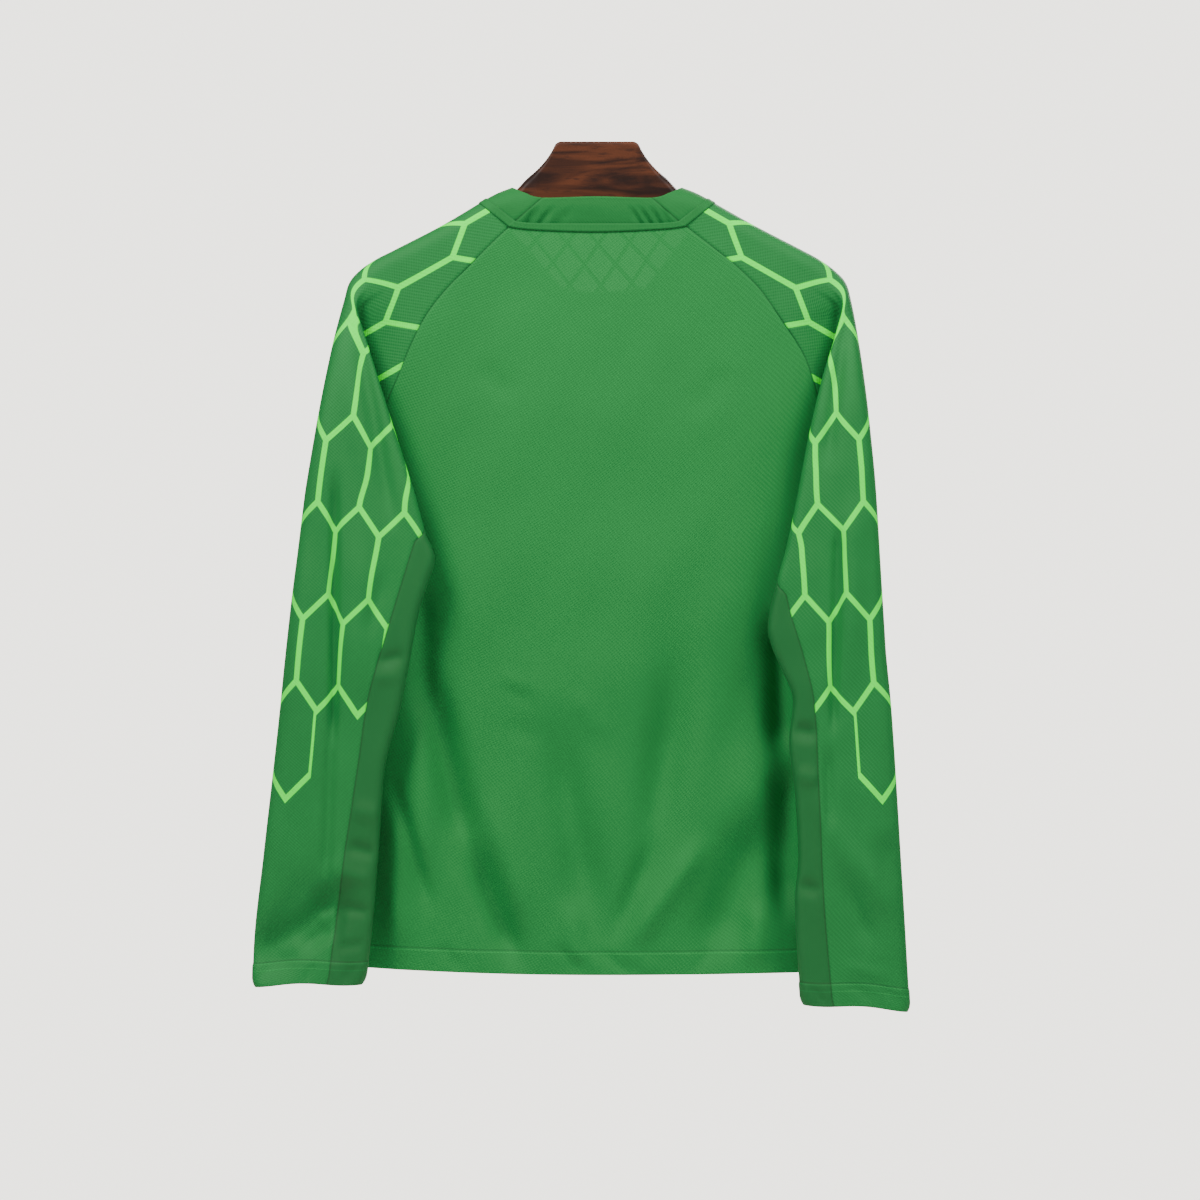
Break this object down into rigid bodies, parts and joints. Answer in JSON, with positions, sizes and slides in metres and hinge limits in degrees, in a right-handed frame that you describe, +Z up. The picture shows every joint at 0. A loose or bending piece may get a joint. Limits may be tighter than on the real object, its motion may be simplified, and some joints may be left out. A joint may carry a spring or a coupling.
{
  "type": "long-sleeved football jersey on a wooden hanger",
  "caption": "Long-sleeved raglan football jersey with dark underarm panels and a band collar, hanging flat on a plain dark wooden hanger.",
  "frame": {"origin": "middle of the flat top of the hanger's head, where it is held up", "axes": "+Z up, -Y the way the back of the jersey faces, +X the wearer's right"},
  "size_m": [0.6124, 0.091, 0.8091],
  "materials": {
    "body_knit": "fine ribbed polyester knit, matt",
    "sleeve_knit": "fine ribbed polyester knit with a light green line print",
    "underarm_knit": "smooth dark green knit with a faint sheen",
    "collar_knit": "doubled knit collar band, matt",
    "hanger_wood": "dark stained walnut, satin varnish"
  },
  "bodies": {
    "root": {"hanger": "hanger_wood", "back_panel": "body_knit", "front_panel": "body_knit", "sleeve_left": "sleeve_knit", "sleeve_right": "sleeve_knit", "underarm_left": "underarm_knit", "underarm_right": "underarm_knit", "collar_back": "collar_knit", "collar_front": "collar_knit", "neck_binding": "collar_knit"}
  },
  "joints": []
}
